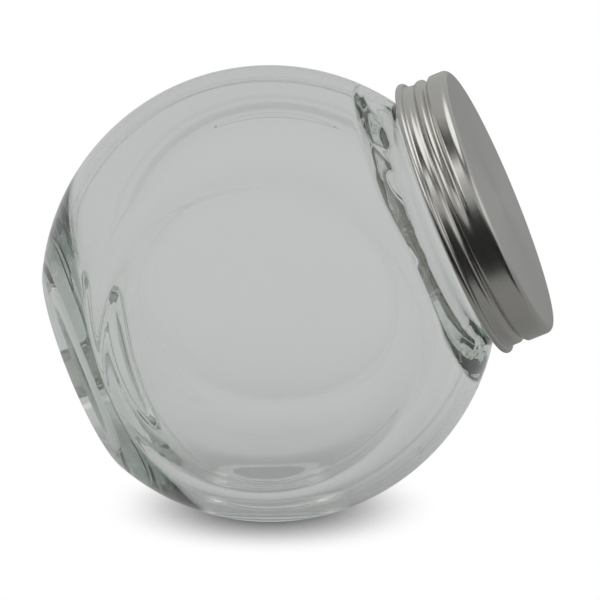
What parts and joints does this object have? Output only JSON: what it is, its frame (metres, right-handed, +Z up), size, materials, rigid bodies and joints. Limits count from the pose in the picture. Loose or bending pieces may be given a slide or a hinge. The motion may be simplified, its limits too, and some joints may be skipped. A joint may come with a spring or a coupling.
{
  "type": "slanted glass storage jar with screw lid",
  "caption": "Clear round glass jar with two flat sides, leaning on a tilt foot, its mouth closed by a brushed steel screw lid.",
  "frame": {"origin": "centre of the tilt foot, the small flat on which the jar stands leaning", "axes": "+Z up; +X towards the mouth, whose axis rises 23.4 degrees above +X; +Y across the jar, square to its two flat side panels"},
  "size_m": [0.1949, 0.1264, 0.1714],
  "materials": {
    "clear_glass": "clear, faintly green in its thick edges",
    "brushed_stainless": "circular brushing on the face, polished lengthwise on the skirt",
    "liner_foam": "white closed-cell foam"
  },
  "bodies": {
    "jar": {"glass_jar": "clear_glass"},
    "liner": {"lid_liner": "liner_foam"},
    "lid": {"lid_shell": "brushed_stainless"}
  },
  "joints": [
    {"name": "lid_lift", "type": "slide", "parent": "jar", "child": "liner", "axis": [0.9178, 0, 0.3971], "range_m": [0, 0.0204]},
    {"name": "lid_turn", "type": "hinge", "parent": "liner", "child": "lid", "pos_m": [0, 0, 0.08443], "axis": [0.9178, 0, 0.3971], "range_deg": [0, 1440]}
  ],
  "couplings": [
    {"joint": "lid_lift", "follows": "lid_turn", "m_per_rad": 0.00080851}
  ]
}
